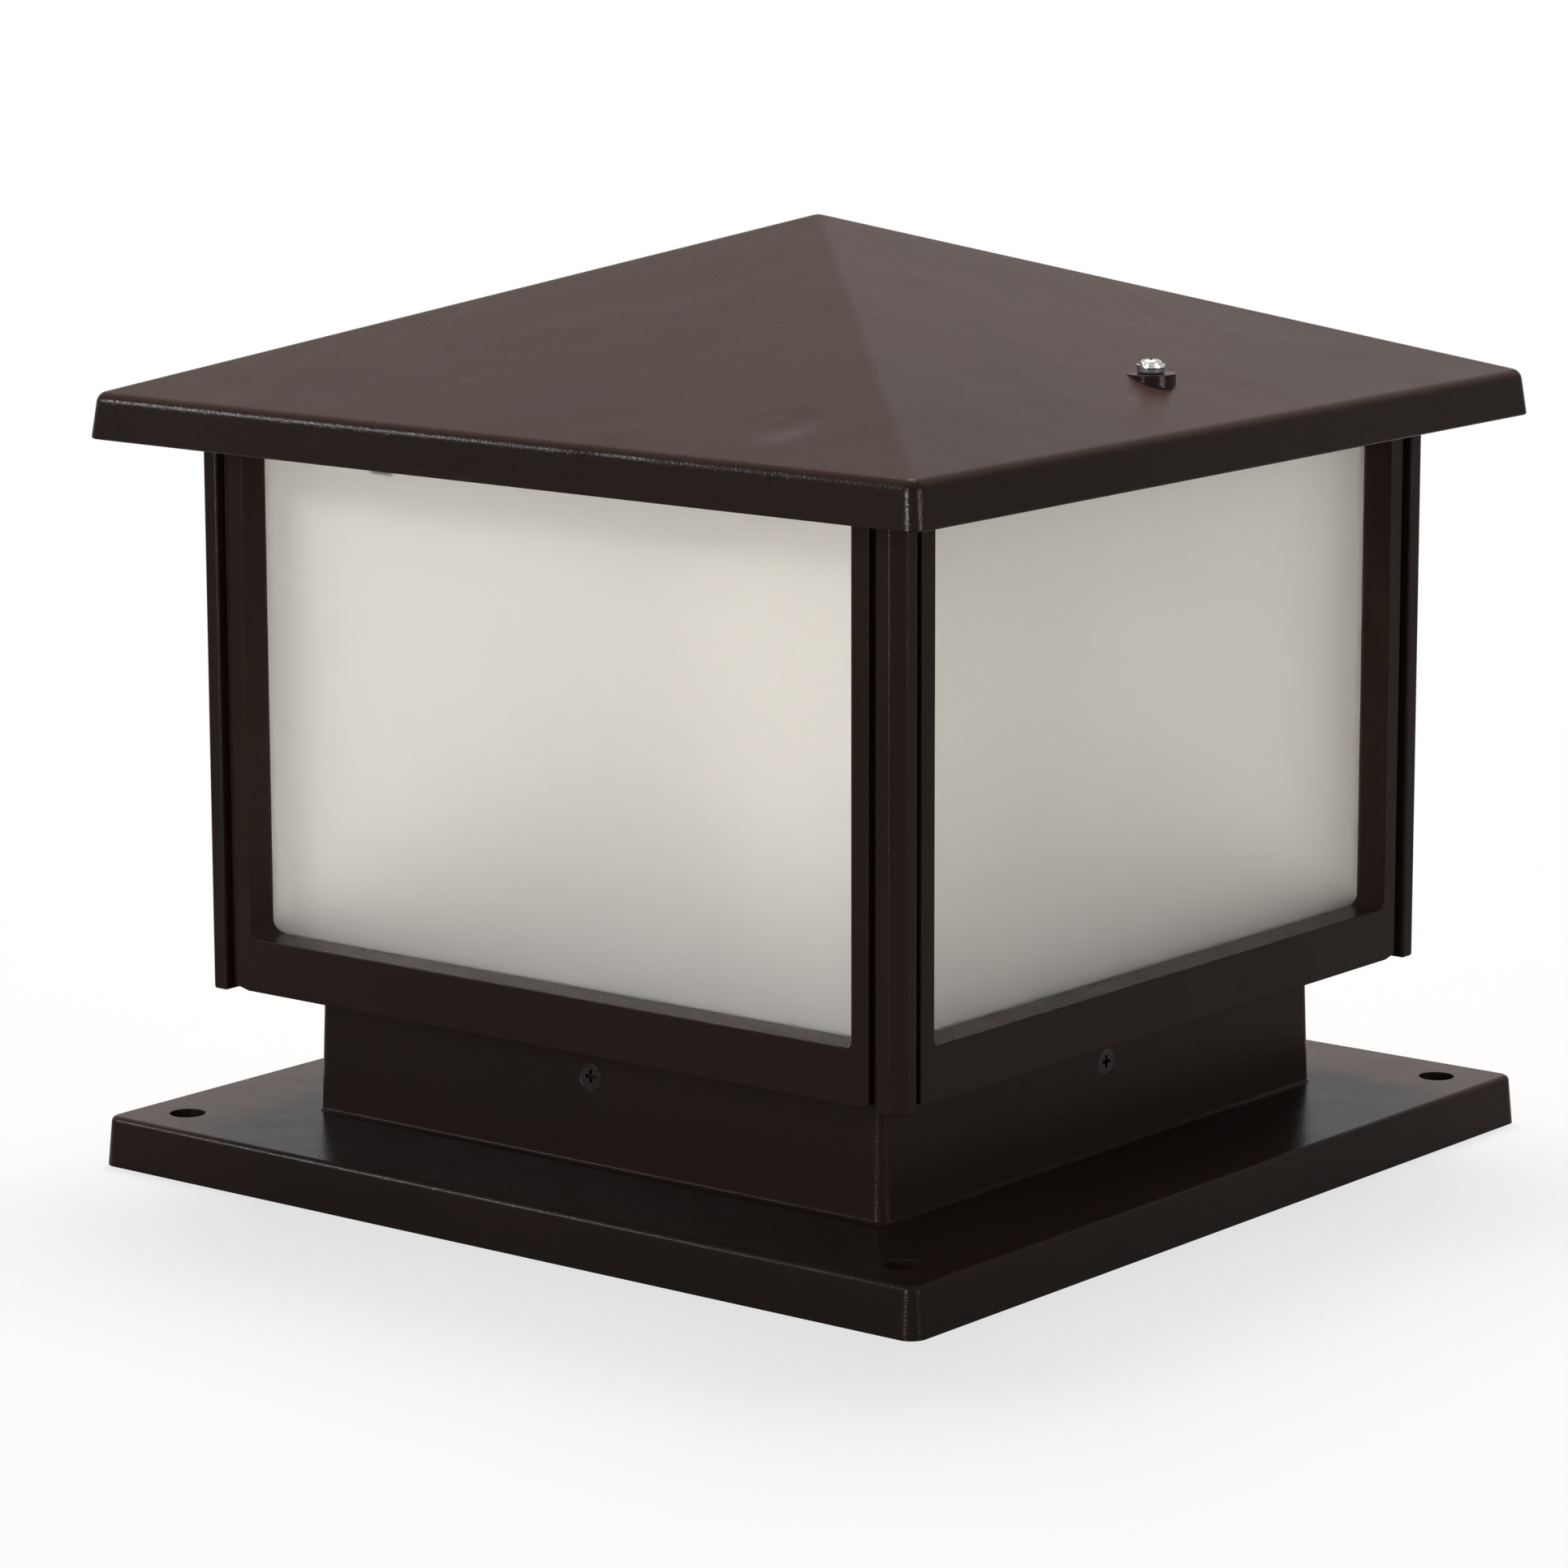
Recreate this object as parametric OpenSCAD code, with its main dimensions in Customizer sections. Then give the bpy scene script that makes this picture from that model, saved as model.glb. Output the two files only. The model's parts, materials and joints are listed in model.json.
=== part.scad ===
// Deck post cap light: a square lantern on a flanged base, with a low hipped roof.
// The origin is the centre of the base's underside, +Z is up, and the front is -Y.

/* [Base] */
// Width of the mounting plate at its foot
base_w = 300; // [275:1:360]
// Height of the mounting plate
base_h = 14.6; // [12:0.1:22]
// How much each side of the plate leans in from foot to top
base_draft = 1.2; // [0.4:0.1:2.5]
// Radius of the plate's upright corners
base_corner_r = 5; // [3:0.5:10]
// Rounding of the plate's top edge
base_edge_r = 1.8; // [0.5:0.1:3]
// Wall thickness of the plate casting
base_wall = 3.5; // [2.5:0.1:5]
// Distance of the mounting holes from the plate's edges
anchor_inset = 18; // [15:0.5:22]
// Diameter of the mounting holes
anchor_hole_d = 10.5; // [6:0.5:13]
// Diameter of the bosses around the mounting holes
anchor_boss_d = 22; // [18:1:26]

/* [Neck] */
// Width across the neck at its top edge
neck_top_w = 207.6; // [190:0.1:216]
// How much each side of the neck leans out from its top to its foot
neck_draft = 1.4; // [0.2:0.1:3]
// Height of the neck above the plate
neck_h = 38.7; // [32:0.1:60]
// Wall thickness of the neck
neck_wall = 3; // [2.2:0.1:4.5]
// Radius of the neck's upright corners
neck_corner_r = 4; // [3:0.5:8]
// Size of the sloped foot where the neck meets the plate
neck_foot = 0.8; // [0.5:0.1:3]
// Distance of the neck screws below the seam
neck_screw_drop = 12.9; // [11:0.1:18]

/* [Lantern] */
// Width of the lantern across the faces of its side frames
frame_w = 252.4; // [240:0.1:265]
// Height of the side frames
frame_h = 170.7; // [120:0.1:240]
// Width of frame left between the glass and the frame's mitred inner corner
pocket_wall = 0.6; // [0.5:0.1:12]
// Height of the frame below the window
sill_h = 15.7; // [15:0.1:30]
// Height of the frame above the window
head_h = 12; // [11:0.1:20]
// Depth from the frame's face to the shoulder behind the window
reveal_d = 8.9; // [7:0.1:11]
// Rise of the window sill towards the glass
sill_rise = 0.6; // [0.2:0.1:2]
// Corner radius of the window at the frame's face
window_r = 2; // [1.5:0.1:5]
// Corner radius of the window at the glass
window_back_r = 6; // [5:0.1:9]
// Thickness of the frame's inward foot
foot_t = 4; // [3:0.1:6]
// Thickness of the lip behind the foot of the glass
lip_t = 2; // [1.5:0.1:3]

/* [Corner posts] */
// Width of the part of a corner post that shows on each face
post_w = 8; // [6:0.1:9.5]
// How far the posts stand out from the frames
post_proud = 1.3; // [0.5:0.1:3]
// Width of the flat nose across the post's outer corner, measured along each face
post_nose = 3; // [1.5:0.1:4.5]
// Width of the groove beside each post
groove_w = 3.2; // [1.5:0.1:4]
// Width of the slope at the foot of the frames beside each post
heel_w = 4.5; // [1:0.1:5]
// Rise of the slope at the foot of the frames beside each post
heel_h = 1; // [0.4:0.1:1.6]
// Depth of the groove beside each post
groove_d = 2.4; // [1.5:0.1:3.8]
// Rounding of the post's edges and foot
post_edge_r = 0.8; // [0.5:0.1:1]
// How far the posts end below the frames
post_drop = 0.8; // [0:0.1:2]
// How far the posts end below the top of the frames
post_top_gap = 2; // [0.5:0.1:2.5]

/* [Glass] */
// Thickness of the glass panes
glass_t = 4; // [3:0.1:5]
// Width of glass behind the frame at each side of the window
glass_lap = 1.2; // [1:0.1:1.6]
// Height of glass behind the frame above and below the window
glass_drop = 2.4; // [1.8:0.1:3]
// Thickness of the seal in front of the glass
seal_t = 0.8; // [0.5:0.1:1.5]
// Width of the spring clip that holds a pane
clip_w = 8; // [6:0.5:12]
// Distance of the clip from the middle of its pane
clip_offset = 67.5; // [40:0.5:80]
// How far the clips reach down past the head of the window
clip_reach = 2.4; // [1:0.1:6]
// How much further down the front pane's clip reaches, as photographed
front_clip_extra = 2.6; // [0:0.1:4]

/* [Roof] */
// Width of the roof at the foot of its skirt
roof_w = 299; // [285:0.5:340]
// How much each side of the skirt leans out from the eave to its foot
skirt_flare = 1.4; // [0.5:0.1:4]
// Height of the roof's skirt
skirt_h = 12.7; // [8:0.1:18]
// Rise of the roof from eave to peak
roof_rise = 49.1; // [40:0.1:80]
// Rounding of the eave
eave_r = 3.5; // [1:0.1:3.7]
// Radius of the roof's upright corners
roof_corner_r = 4; // [3.5:0.5:10]
// Rounding of the peak and hips
peak_r = 6; // [4.5:0.5:12]
// Wall thickness of the roof casting
roof_wall = 3; // [2:0.1:4]
// How far the skirt reaches below the top of the frames
skirt_lap = 9.5; // [6:0.1:14]
// Distance of the roof screws from the middle of the roof
roof_screw_x = 117.4; // [115.5:0.1:121]
// Diameter of the raised seats of the roof screws
roof_boss_d = 14; // [11:0.1:16]
// How far the seats reach up the roof's slope from their screws
roof_boss_reach = 4.2; // [4.2:0.1:6]
// Width of the rib that presses on the roof gasket
rib_w = 9; // [6:0.5:12]
// Thickness of the roof gasket
gasket_t = 2; // [1:0.1:4]

/* [Tray and lamp] */
// Thickness of the floor tray
tray_t = 3; // [2:0.1:5]
// Height of the lamp bracket above the tray
bracket_h = 16; // [13:0.5:30]
// Width of the lamp bracket
bracket_w = 30; // [24:1:36]
// Thickness of the bracket's steel strip
bracket_t = 2; // [1.5:0.1:3]
// Outside diameter of the lamp holder
holder_d = 40; // [38:1:46]
// Height of the lamp holder
holder_h = 46; // [44:1:60]
// Depth of the lamp holder's socket
socket_depth = 32; // [30:0.5:34]
// Diameter of the lamp's screw cap
cap_d = 26; // [26:0.1:26.6]
// Greatest diameter of the lamp's bulb
bulb_d = 60; // [50:1:75]
// Height of the lamp from its contact to its tip
bulb_h = 105; // [95:1:115]
// Bore of the cable grommet
cable_d = 8; // [5:0.5:10]

/* [Hidden] */

// Colours of the materials, as the photograph shows them
BRONZE = [0.17, 0.15, 0.15];
FROSTED = [0.82, 0.8, 0.76, 0.9];
STEEL = [0.72, 0.72, 0.7];
BLACK = [0.05, 0.05, 0.05];
BRASS = [0.78, 0.62, 0.3];
CERAMIC = [0.92, 0.9, 0.86];

// Clearances that the fits share
CLEAR = 0.3;        // between pieces that only lie beside each other
THREAD_CLEAR = 0.05; // radial clearance of a screw in its thread
ROUND = 72;         // facets of round pieces
HULL_ROUND = 32;    // facets of the corners inside a hull
CUT = 1;            // how far a cut runs past the face it opens

// Screw sizes: radius of the shank, and radius and height of a pan head
M4 = 2;
M4_HEAD_R = 3.6;
M4_HEAD_H = 2.6;
M3 = 1.5;
M3_HEAD_R = 2.7;
M3_HEAD_H = 2;
SCREW_SKIN = 0.8;   // room past a screw's tip, and metal past a blind hole

// Proportions of a screw
TIP_R = 0.8;        // tip's radius, of the shank's
TIP_H = 0.4;        // tip's taper, of the shank's radius
CROWN = 0.2;        // height of a pan head's straight edge, of the head's
DOME_STEP = 15;     // degrees between the points of a pan head's dome
RECESS_W = 1.15;    // width of the cross recess, of a pan head's radius
RECESS_DEPTH = 0.6; // depth of the cross recess, of a pan head's height or a flat head's shank radius
FLAT_RECESS_W = 1.9; // width of a flat head's recess, of the shank's radius
FLAT_RIM = 0.1;     // how much smaller a flat head is than its seat

// Levels, from the foot up
seam_z = base_h + neck_h;
foot_top_z = seam_z + foot_t;
tray_top_z = foot_top_z + tray_t;
sill_z = seam_z + sill_h;
frame_top_z = seam_z + frame_h;
head_z = frame_top_z - head_h;
gasket_top_z = frame_top_z + gasket_t;
skirt_z = frame_top_z - skirt_lap;
eave_z = skirt_z + skirt_h;
peak_z = eave_z + roof_rise;
neck_screw_z = seam_z - neck_screw_drop;

// Distances from the middle to faces of the lantern, seen from above
frame_face = frame_w / 2;
shoulder = frame_face - reveal_d;
glass_face = shoulder - seal_t;
frame_back = glass_face - glass_t;
lip_back = frame_back - lip_t;
post_face = frame_face + post_proud;
post_side = post_face - post_w;
frame_end = post_side - groove_w;
block_out = frame_face - groove_d;
neck_top_half = neck_top_w / 2;
neck_inner = neck_top_half - neck_wall;
neck_foot_half = neck_top_half + neck_draft;
base_half = base_w / 2;
anchor_half = base_half - anchor_inset;
tray_half = lip_back - CLEAR;
rib_out = frame_back + (frame_face - frame_back + rib_w) / 2;
rib_in = rib_out - rib_w;

// Glass pane
glass_half = frame_back - pocket_wall - CLEAR;
window_half = glass_half - glass_lap;
glass_low_z = sill_z - glass_drop;
glass_high_z = head_z + glass_drop;

// Roof slope, and the corner of its section at the eave
roof_half = roof_w / 2;
eave_half = roof_half - skirt_flare;
slope = atan(roof_rise / eave_half);
skirt_lean = atan(skirt_flare / skirt_h);
SKIRT_BEVEL = 0.4;
boss_top_z = eave_z + (eave_half - roof_screw_x + roof_boss_reach) * tan(slope);

// Tray lugs that the neck screws hold
LUG_GAP = 0.4;
LUG_T = 8;
LUG_W = 24;
LUG_BELOW = 7;
NECK_SCREW_LENGTH = 10;
lug_face = neck_inner - LUG_GAP;
lug_low_z = neck_screw_z - LUG_BELOW;

// Screws that hold the tray down on the frames' feet
tray_screw_x = window_half / 2;
tray_screw_y = tray_half - M4_HEAD_R - CLEAR;
tray_screw_length = tray_t + foot_t - 2 * SCREW_SKIN;

// Lamp axis levels
BRACKET_LEG_X = 27;
BRACKET_FOOT = 18;
bracket_screw_x = BRACKET_LEG_X + BRACKET_FOOT / 2;
bracket_top_z = tray_top_z + bracket_h;
holder_top_z = bracket_top_z + holder_h;
socket_floor_z = holder_top_z - socket_depth;
SHELL_T = 0.5;
CONTACT_H = 2.4;
bulb_foot_z = socket_floor_z + CONTACT_H;
BULB_CONTACT_H = 1.2;
INSULATOR_H = 3.3;
CAP_H = 21;
shell_r = cap_d / 2 + 0.5;

// Terminal block and leads
BLOCK = [32, 18, 15];
BLOCK_Y = 62;
POLE_PITCH = 10;
block_screw_x = POLE_PITCH / 2;
CLAMP_R = 2.6;
CLAMP_SCREW_R = 1.5;
CLAMP_SCREW_H = 4;
CLAMP_LENGTH = 14;
CLAMP_CLEAR = 0.2;
SLOT_W = 0.6;
SLOT_DEPTH = 0.6;
LEAD_R = 1.2;
lead_exit_y = BLOCK_Y - BLOCK[1] / 2;
lead_exit_z = tray_top_z + 8;
lead_entry_z = bracket_top_z + 8;
LEAD_ENTRY_X = 7;
LEAD_ENTRY_DEPTH = 5;
LEAD_IN_BLOCK = 4;
LEAD_IN_HOLDER = 2;
LEAD_IN_BARREL = 3;
lead_entry_y = holder_d / 2 - 4;
EARTH_X = 16;
EARTH_Y = 26;
EARTH_SCREW_LENGTH = 6;
RING_R = 5;
RING_T = 0.8;
BARREL_Y = 4.6;
BARREL_R = 2.2;
BARREL_LENGTH = 7;
GROMMET_Y = -60;
GROMMET_R = 9;

// ---------- shapes that repeat ----------

// Point on a circle
function around(centre, r, a) = [centre[0] + r * cos(a), centre[1] + r * sin(a)];

// Points along an arc
function arc(centre, r, a0, a1, steps) =
    [for (i = [0:steps]) around(centre, r, a0 + (a1 - a0) * i / steps)];

// One copy on each of the four sides, turned about the middle
module each_side() {
    for (i = [0:3]) rotate([0, 0, 90 * i]) children();
}

// The same turned section at each corner of a square
module turned_corners(corner_at, section) {
    for (x = [-1, 1], y = [-1, 1]) translate([x * corner_at, y * corner_at, 0])
        rotate_extrude($fn = HULL_ROUND) polygon(section);
}

// A square block whose upright corners all have the same turned section
module square_hull(corner_at, section) {
    hull() turned_corners(corner_at, section);
}

// A plain square prism about the Z axis
module square_prism(half, z0, z1) {
    translate([-half, -half, z0]) cube([2 * half, 2 * half, z1 - z0]);
}

// A round rod along Z, for a solid or for the hole it leaves
module rod(r, z0, z1) {
    translate([0, 0, z0]) cylinder(r = r, h = z1 - z0, $fn = ROUND);
}

// Cross recess of a screw head, cut from z = top down
module cross_recess(size, top, depth) {
    for (a = [0, 90]) rotate([0, 0, a])
        translate([-size / 2, -size / 8, top - depth]) cube([size, size / 4, depth + CUT]);
}

// Pan-head screw along Z: the head's underside is at z = 0 and the shank points down
module pan_screw(r, length, head_r, head_h, collar_r = 0, collar_t = 0) {
    crown = collar_t + head_h * CROWN;
    difference() {
        union() {
            rotate_extrude($fn = ROUND) polygon(concat(
                [[0, -length], [r * TIP_R, -length], [r, -length + r * TIP_H], [r, 0], [head_r, 0]],
                [for (a = [0:DOME_STEP:90]) [head_r * cos(a), crown + (head_h - crown) * sin(a)]]));
            if (collar_r > 0) cylinder(r = collar_r, h = collar_t, $fn = ROUND);
        }
        cross_recess(head_r * RECESS_W, head_h, head_h * RECESS_DEPTH);
    }
}

// Countersunk screw along Z: the head's flat top is at z = 0 and the shank points down
module flat_screw(r, length) {
    difference() {
        rotate_extrude($fn = ROUND) polygon([
            [0, -length], [r * TIP_R, -length], [r, -length + r * TIP_H], [r, -r],
            [2 * r - FLAT_RIM, 0], [0, 0]]);
        cross_recess(r * FLAT_RECESS_W, 0, r * RECESS_DEPTH);
    }
}

// Seat of a countersunk screw, cut from z = 0 down, with a clearance hole
module flat_screw_seat(r, length) {
    translate([0, 0, -r - THREAD_CLEAR]) cylinder(r1 = r + THREAD_CLEAR, r2 = 2 * r + THREAD_CLEAR,
        h = r + THREAD_CLEAR, $fn = ROUND);
    rod(r + THREAD_CLEAR, -length - CUT, -r);
    rod(2 * r + THREAD_CLEAR, 0, CUT);
}

// A round lead along a Bezier curve: its rings, its walls and its flat ends
function unit(v) = v / norm(v);
function sweep_ring(p, d, r, n) =
    let (side = unit(cross(d, abs(d[0]) < 0.9 ? [1, 0, 0] : [0, 1, 0])), up = cross(side, d))
    [for (i = [0:n - 1]) p + r * (cos(360 * i / n) * side + sin(360 * i / n) * up)];
function bezier(p, t) = pow(1 - t, 3) * p[0] + 3 * t * pow(1 - t, 2) * p[1]
    + 3 * t * t * (1 - t) * p[2] + pow(t, 3) * p[3];
function bezier_dir(p, t) = unit(pow(1 - t, 2) * (p[1] - p[0]) + 2 * t * (1 - t) * (p[2] - p[1])
    + t * t * (p[3] - p[2]));
LEAD_RINGS = 16;
LEAD_SIDES = 8;
module lead(p, r) {
    n = LEAD_SIDES;
    points = [for (k = [0:LEAD_RINGS]) let (t = k / LEAD_RINGS)
        each sweep_ring(bezier(p, t), bezier_dir(p, t), r, n)];
    walls = [for (k = [0:LEAD_RINGS - 1], i = [0:n - 1]) let (j = (i + 1) % n)
        each [[k * n + i, k * n + j, (k + 1) * n + j], [k * n + i, (k + 1) * n + j, (k + 1) * n + i]]];
    ends = [for (i = [1:n - 2]) each [[0, i + 1, i],
        [LEAD_RINGS * n, LEAD_RINGS * n + i, LEAD_RINGS * n + i + 1]]];
    polyhedron(points = points, faces = concat(walls, ends));
}

// ---------- base ----------

// The plate as a solid, with a rounded top edge
module plate_block() {
    top_r = base_corner_r - base_draft;
    edge = min(base_edge_r, top_r - 0.2);
    square_hull(base_half - base_corner_r, concat([[0, 0], [base_corner_r, 0]],
        arc([top_r - edge, base_h - edge], edge, 0, 90, 6), [[0, base_h]]));
}

// The space under the plate, inside its skirt
module plate_hollow() {
    top_r = max(base_corner_r - base_wall, 1);
    foot_r = top_r + base_draft;
    top = base_h - base_wall;
    square_hull(base_half - base_wall - foot_r,
        [[0, -CUT], [foot_r, -CUT], [foot_r, 0], [top_r, top], [0, top]]);
}

module neck_walls() {
    corner_at = neck_foot_half - neck_corner_r;
    top_r = neck_corner_r - neck_draft;
    square_hull(corner_at, [[0, base_h - base_wall], [neck_corner_r, base_h - base_wall],
        [neck_corner_r, base_h], [top_r, seam_z], [0, seam_z]]);
    square_hull(corner_at, [[0, base_h - CUT], [neck_corner_r + neck_foot, base_h - CUT],
        [neck_corner_r + neck_foot, base_h], [neck_corner_r, base_h + neck_foot], [0, base_h + neck_foot]]);
}

module base_casting() {
    way_r = neck_corner_r;
    way_top_r = neck_corner_r - neck_draft;
    color(BRONZE) difference() {
        union() {
            difference() {
                plate_block();
                plate_hollow();
            }
            // the neck's wall runs on below the plate as a rib, down to the foot
            square_prism(neck_foot_half, 0, base_h - CUT);
            neck_walls();
            // bosses around the mounting holes
            for (x = [-1, 1], y = [-1, 1]) translate([x * anchor_half, y * anchor_half, 0])
                rod(anchor_boss_d / 2, 0, base_h - CUT);
        }
        // the way for the cable, open from the foot to the tray
        square_hull(neck_foot_half - neck_wall - way_r, [[0, -CUT], [way_r, -CUT], [way_r, base_h],
            [way_top_r, seam_z], [way_top_r, seam_z + CUT], [0, seam_z + CUT]]);
        for (x = [-1, 1], y = [-1, 1]) translate([x * anchor_half, y * anchor_half, 0])
            rod(anchor_hole_d / 2, -CUT, base_h + CUT);
        each_side() neck_screw_place() flat_screw_seat(M4, 2 * neck_wall);
    }
}

// Puts a screw through the front wall of the neck, head outwards
module neck_screw_place() {
    wall_y = neck_top_half + neck_draft * neck_screw_drop / neck_h;
    translate([0, -wall_y, neck_screw_z]) rotate([90, 0, 0]) children();
}

module neck_screws() {
    color(BLACK) each_side() neck_screw_place() flat_screw(M4, NECK_SCREW_LENGTH);
}

// ---------- lantern floor ----------

// Places of the screws that hold the tray down on the frames' feet
module at_tray_screws() {
    each_side() for (x = [-1, 1]) translate([x * tray_screw_x, -tray_screw_y, tray_top_z]) children();
}

module floor_tray() {
    color(BRONZE) difference() {
        union() {
            square_prism(tray_half, foot_top_z, tray_top_z);
            each_side() translate([-LUG_W / 2, -lug_face, lug_low_z])
                cube([LUG_W, LUG_T, foot_top_z - lug_low_z + CUT]);
        }
        at_tray_screws() rod(M4 + THREAD_CLEAR, -tray_t - CUT, CUT);
        each_side() neck_screw_place() rod(M4 + THREAD_CLEAR, -NECK_SCREW_LENGTH - CUT, CUT);
        translate([0, GROMMET_Y, 0]) rod(GROMMET_R, foot_top_z - CUT, tray_top_z + CUT);
        for (x = [-1, 1]) translate([x * bracket_screw_x, 0, tray_top_z])
            rod(M4 + THREAD_CLEAR, -tray_t - CUT, CUT);
        translate([block_screw_x, BLOCK_Y, tray_top_z]) rod(M3 + THREAD_CLEAR, -tray_t - CUT, CUT);
        translate([EARTH_X, EARTH_Y, tray_top_z]) rod(M4 + THREAD_CLEAR, -tray_t - CUT, CUT);
    }
}

module tray_screws() {
    color(STEEL) at_tray_screws() pan_screw(M4, tray_screw_length, M4_HEAD_R, M4_HEAD_H);
}

GROMMET_LIP = 2.5;
GROMMET_LIP_T = 2;
module cable_grommet() {
    low = foot_top_z - GROMMET_LIP_T;
    high = tray_top_z + GROMMET_LIP_T;
    lip_r = GROMMET_R + GROMMET_LIP;
    waist_r = GROMMET_R - THREAD_CLEAR;
    color(BLACK) translate([0, GROMMET_Y, 0]) rotate_extrude($fn = ROUND) polygon([
        [cable_d / 2, low], [lip_r, low], [lip_r, foot_top_z], [waist_r, foot_top_z],
        [waist_r, tray_top_z], [lip_r, tray_top_z], [lip_r, high], [cable_d / 2, high]]);
}

// ---------- lantern sides ----------

// Outline of a frame from above: a straight face and mitred ends
function frame_plan(back) = [[-frame_end, -frame_face], [frame_end, -frame_face], [frame_end, -frame_end],
    [back, -back], [-back, -back], [-frame_end, -frame_end]];

// The window: square to the face, with its corners opening out towards the glass
module window_cut() {
    back_low = sill_z + sill_rise;
    hull() for (x = [-1, 1], top = [0, 1]) {
        face_z = top ? head_z - window_r : sill_z + window_r;
        back_z = top ? head_z - window_back_r : back_low + window_back_r;
        translate([x * (window_half - window_r), -frame_face - CUT, face_z])
            rotate([-90, 0, 0]) cylinder(r = window_r, h = CUT, $fn = HULL_ROUND);
        translate([x * (window_half - window_back_r), -shoulder, back_z])
            rotate([-90, 0, 0]) cylinder(r = window_back_r, h = CUT, $fn = HULL_ROUND);
    }
}

// Places for the diagonal screws that draw each post against its two frames
POST_SCREW_LENGTH = 9;
POST_SCREW_GRIP = 3.2;
post_screw_levels = [(foot_top_z + glass_low_z - CLEAR) / 2, (glass_high_z + CLEAR + frame_top_z) / 2];
post_seat = frame_end * sqrt(2) - POST_SCREW_GRIP;

// Puts children along the diagonal of the front right corner, head towards the middle
module at_post_screws() {
    for (z = post_screw_levels) translate([0, 0, z]) rotate([0, 0, -45])
        translate([post_seat, 0, 0]) rotate([0, -90, 0]) children();
}

module side_frame(has_roof_screw) {
    color(BRONZE) difference() {
        union() {
            translate([0, 0, seam_z]) linear_extrude(frame_h) polygon(frame_plan(frame_back));
            translate([0, 0, seam_z]) linear_extrude(foot_t) polygon(frame_plan(neck_inner));
            translate([-window_half, -frame_back - CUT, foot_top_z])
                cube([2 * window_half, lip_t + CUT, sill_z - foot_top_z]);
        }
        window_cut();
        // the slope at the frame's foot, beside each post
        for (side = [0, 1]) mirror([side, 0, 0]) translate([frame_end, groove_d - frame_face, seam_z])
            rotate([90, 0, 0]) linear_extrude(groove_d + CUT)
                polygon([[-heel_w, 0], [-heel_w, -CUT], [CUT, -CUT], [CUT, heel_h], [0, heel_h]]);
        // seat for the glass and its seal, open towards the middle
        translate([-glass_half - CLEAR, -shoulder, glass_low_z - CLEAR])
            cube([2 * (glass_half + CLEAR), seal_t + glass_t, glass_high_z - glass_low_z + 2 * CLEAR]);
        translate([-glass_half - CLEAR, -frame_back - CLEAR, sill_z])
            cube([2 * (glass_half + CLEAR), lip_t + CLEAR + CUT, head_z + glass_drop + CLEAR - sill_z]);
        // screw holes
        for (x = [-1, 1]) translate([x * tray_screw_x, -tray_screw_y, foot_top_z])
            rod(M4 + THREAD_CLEAR, SCREW_SKIN - foot_t, CUT);
        for (a = [0, -90]) rotate([0, 0, a]) at_post_screws() {
            rod(M3 + THREAD_CLEAR, -2 * POST_SCREW_GRIP, CUT);
            rod(M3_HEAD_R + CLEAR, 0, 3 * POST_SCREW_GRIP);
        }
        clip_screw_place() rod(M3 + THREAD_CLEAR, -CLIP_SCREW_LENGTH - CUT, CUT);
        if (has_roof_screw) translate([0, -roof_screw_x, 0])
            rod(M4 + THREAD_CLEAR, roof_screw_low_z - SCREW_SKIN, frame_top_z + CUT);
    }
}

module side_frame_front() { side_frame(false); }
module side_frame_right() { rotate([0, 0, 90]) side_frame(true); }
module side_frame_back() { rotate([0, 0, 180]) side_frame(false); }
module side_frame_left() { rotate([0, 0, 270]) side_frame(true); }

// Post at the front right corner
module corner_post() {
    low = seam_z - post_drop;
    high = frame_top_z - post_top_gap;
    at_in = post_side + post_edge_r;
    at_out = post_face - post_edge_r;
    at_nose = at_out - post_nose;
    shaft_z = low + post_edge_r;
    edges = [[at_in, at_in], [at_in, at_out], [at_nose, at_out], [at_out, at_nose], [at_out, at_in]];
    section = concat(arc([0, shaft_z], post_edge_r, -90, 0, 4), [[post_edge_r, high], [0, high]]);
    color(BRONZE) difference() {
        union() {
            hull() for (p = edges) translate([p[0], -p[1], 0])
                rotate_extrude($fn = HULL_ROUND) polygon(section);
            translate([frame_end, -block_out, shaft_z])
                cube([block_out - frame_end, block_out - frame_end, high - shaft_z]);
        }
        at_post_screws() rod(M3 + THREAD_CLEAR, -POST_SCREW_LENGTH - SCREW_SKIN, CUT);
    }
}

module corner_post_front_right() { corner_post(); }
module corner_post_back_right() { rotate([0, 0, 90]) corner_post(); }
module corner_post_back_left() { rotate([0, 0, 180]) corner_post(); }
module corner_post_front_left() { rotate([0, 0, 270]) corner_post(); }

module post_screws() {
    color(STEEL) each_side() at_post_screws() pan_screw(M3, POST_SCREW_LENGTH, M3_HEAD_R, M3_HEAD_H);
}

// ---------- glass ----------

module glass_pane() {
    color(FROSTED) translate([-glass_half, -glass_face, glass_low_z])
        cube([2 * glass_half, glass_t, glass_high_z - glass_low_z]);
}

module glass_pane_front() { glass_pane(); }
module glass_pane_right() { rotate([0, 0, 90]) glass_pane(); }
module glass_pane_back() { rotate([0, 0, 180]) glass_pane(); }
module glass_pane_left() { rotate([0, 0, 270]) glass_pane(); }

// Flat rubber ring between each pane and its frame, kept out of sight behind the window's edge
SEAL_INSET = 0.2;
module glass_seals() {
    half = window_half + SEAL_INSET;
    color(BLACK) each_side() difference() {
        translate([-glass_half, -shoulder, glass_low_z])
            cube([2 * glass_half, seal_t, glass_high_z - glass_low_z]);
        translate([-half, -shoulder - CUT, sill_z - SEAL_INSET])
            cube([2 * half, seal_t + 2 * CUT, head_z - sill_z + 2 * SEAL_INSET]);
    }
}

// Spring clip behind the top edge of each pane
CLIP_T = 1;
CLIP_SCREW_LENGTH = 6;
clip_top_z = frame_top_z - 1;
clip_screw_z = (glass_high_z + CLEAR + frame_top_z) / 2;

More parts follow.
